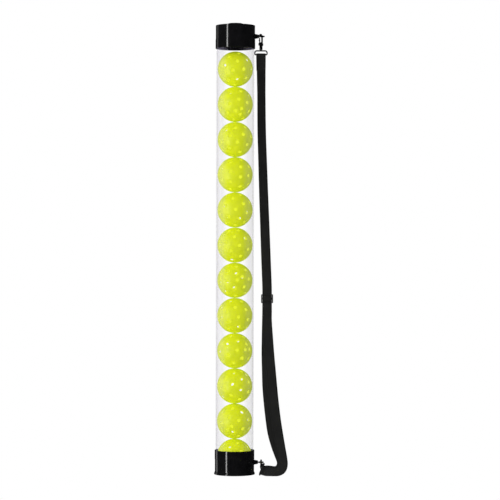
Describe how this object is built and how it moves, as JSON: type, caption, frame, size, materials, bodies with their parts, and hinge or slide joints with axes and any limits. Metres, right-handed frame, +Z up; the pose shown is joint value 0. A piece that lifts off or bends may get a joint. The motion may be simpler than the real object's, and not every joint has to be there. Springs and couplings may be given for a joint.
{
  "type": "ball pick-up and carry tube",
  "caption": "Clear tube holding a column of perforated court balls, with a pick-up collar, a pull-off cap and an adjustable webbing strap on snap hooks.",
  "frame": {"origin": "on the tube's axis, in the plane that the pick-up collar stands on", "axes": "+Z up the tube towards the cap; +X towards the two screw eyes and the strap; +Y away from the viewer"},
  "size_m": [0.1538, 0.0983, 0.946],
  "materials": {
    "clear_plastic": "clear",
    "black_plastic": "gloss",
    "rubber": "matt",
    "ball_plastic": "satin",
    "black_plated": "gloss",
    "spring_steel": "bright",
    "webbing": "woven",
    "slider_plastic": "satin"
  },
  "bodies": {
    "tube": {"clear_tube": "clear_plastic", "pickup_collar": "black_plastic", "retaining_ring": "rubber", "lower_screw_eye": "black_plated", "lower_swivel_loop": "black_plated", "strap_webbing": "webbing", "strap_return": "webbing"},
    "top_cap": {"top_cap": "black_plastic", "upper_screw_eye": "black_plated", "upper_swivel_loop": "black_plated"},
    "upper_hook": {"upper_hook_frame": "black_plated", "upper_gate_pin": "spring_steel", "upper_gate_spring": "spring_steel"},
    "upper_gate": {"upper_hook_gate": "black_plated"},
    "lower_hook": {"lower_hook_frame": "black_plated", "lower_gate_pin": "spring_steel", "lower_gate_spring": "spring_steel"},
    "lower_gate": {"lower_hook_gate": "black_plated"},
    "slider": {"strap_slider": "slider_plastic"},
    "ball_01": {"ball_01": "ball_plastic"},
    "ball_02": {"ball_02": "ball_plastic"},
    "ball_03": {"ball_03": "ball_plastic"},
    "ball_04": {"ball_04": "ball_plastic"},
    "ball_05": {"ball_05": "ball_plastic"},
    "ball_06": {"ball_06": "ball_plastic"},
    "ball_07": {"ball_07": "ball_plastic"},
    "ball_08": {"ball_08": "ball_plastic"},
    "ball_09": {"ball_09": "ball_plastic"},
    "ball_10": {"ball_10": "ball_plastic"},
    "ball_11": {"ball_11": "ball_plastic"},
    "ball_12": {"ball_12": "ball_plastic"}
  },
  "joints": [
    {"name": "cap_pull", "type": "slide", "parent": "tube", "child": "top_cap", "axis": [0, 0, 1], "range_m": [0, 0.05], "deforming": ["strap_webbing"]},
    {"name": "upper_hook_swivel", "type": "hinge", "parent": "top_cap", "child": "upper_hook", "pos_m": [0.05365, -0.00338, 0.919], "axis": [0, 0, 1], "range_deg": [-15, 15]},
    {"name": "upper_gate_hinge", "type": "hinge", "parent": "upper_hook", "child": "upper_gate", "pos_m": [0.05145, -0.00719, 0.9018], "axis": [-0.866, 0.5, 0], "range_deg": [0, 25], "stiffness_Nm_per_rad": 0.02, "springref_deg": -17.19},
    {"name": "lower_hook_swivel", "type": "hinge", "parent": "tube", "child": "lower_hook", "pos_m": [0.05579, -0.00448, 0.02423], "axis": [-0.0404, 0.9604, 0.2756], "range_deg": [-15, 15]},
    {"name": "lower_gate_hinge", "type": "hinge", "parent": "lower_hook", "child": "lower_gate", "pos_m": [0.05653, -0.02221, 0.02372], "axis": [-0.9991, -0.042, 0], "range_deg": [0, 25], "stiffness_Nm_per_rad": 0.02, "springref_deg": -17.19},
    {"name": "strap_adjust", "type": "slide", "parent": "tube", "child": "slider", "axis": [0, 0, 1], "range_m": [-0.03, 0.03], "deforming": ["strap_return"]},
    {"name": "ball_01_lift", "type": "slide", "parent": "tube", "child": "ball_01", "axis": [0, 0, 1], "range_m": [0, 0.052]},
    {"name": "ball_02_lift", "type": "slide", "parent": "tube", "child": "ball_02", "axis": [0, 0, 1], "range_m": [0, 0.052]},
    {"name": "ball_03_lift", "type": "slide", "parent": "tube", "child": "ball_03", "axis": [0, 0, 1], "range_m": [0, 0.052]},
    {"name": "ball_04_lift", "type": "slide", "parent": "tube", "child": "ball_04", "axis": [0, 0, 1], "range_m": [0, 0.052]},
    {"name": "ball_05_lift", "type": "slide", "parent": "tube", "child": "ball_05", "axis": [0, 0, 1], "range_m": [0, 0.052]},
    {"name": "ball_06_lift", "type": "slide", "parent": "tube", "child": "ball_06", "axis": [0, 0, 1], "range_m": [0, 0.052]},
    {"name": "ball_07_lift", "type": "slide", "parent": "tube", "child": "ball_07", "axis": [0, 0, 1], "range_m": [0, 0.052]},
    {"name": "ball_08_lift", "type": "slide", "parent": "tube", "child": "ball_08", "axis": [0, 0, 1], "range_m": [0, 0.052]},
    {"name": "ball_09_lift", "type": "slide", "parent": "tube", "child": "ball_09", "axis": [0, 0, 1], "range_m": [0, 0.052]},
    {"name": "ball_10_lift", "type": "slide", "parent": "tube", "child": "ball_10", "axis": [0, 0, 1], "range_m": [0, 0.052]},
    {"name": "ball_11_lift", "type": "slide", "parent": "tube", "child": "ball_11", "axis": [0, 0, 1], "range_m": [0, 0.052]},
    {"name": "ball_12_lift", "type": "slide", "parent": "tube", "child": "ball_12", "axis": [0, 0, 1], "range_m": [0, 0.052]}
  ],
  "couplings": [
    {"joint": "ball_02_lift", "follows": "ball_01_lift", "ratio": 1},
    {"joint": "ball_03_lift", "follows": "ball_01_lift", "ratio": 1},
    {"joint": "ball_04_lift", "follows": "ball_01_lift", "ratio": 1},
    {"joint": "ball_05_lift", "follows": "ball_01_lift", "ratio": 1},
    {"joint": "ball_06_lift", "follows": "ball_01_lift", "ratio": 1},
    {"joint": "ball_07_lift", "follows": "ball_01_lift", "ratio": 1},
    {"joint": "ball_08_lift", "follows": "ball_01_lift", "ratio": 1},
    {"joint": "ball_09_lift", "follows": "ball_01_lift", "ratio": 1},
    {"joint": "ball_10_lift", "follows": "ball_01_lift", "ratio": 1},
    {"joint": "ball_11_lift", "follows": "ball_01_lift", "ratio": 1},
    {"joint": "ball_12_lift", "follows": "ball_01_lift", "ratio": 1}
  ]
}
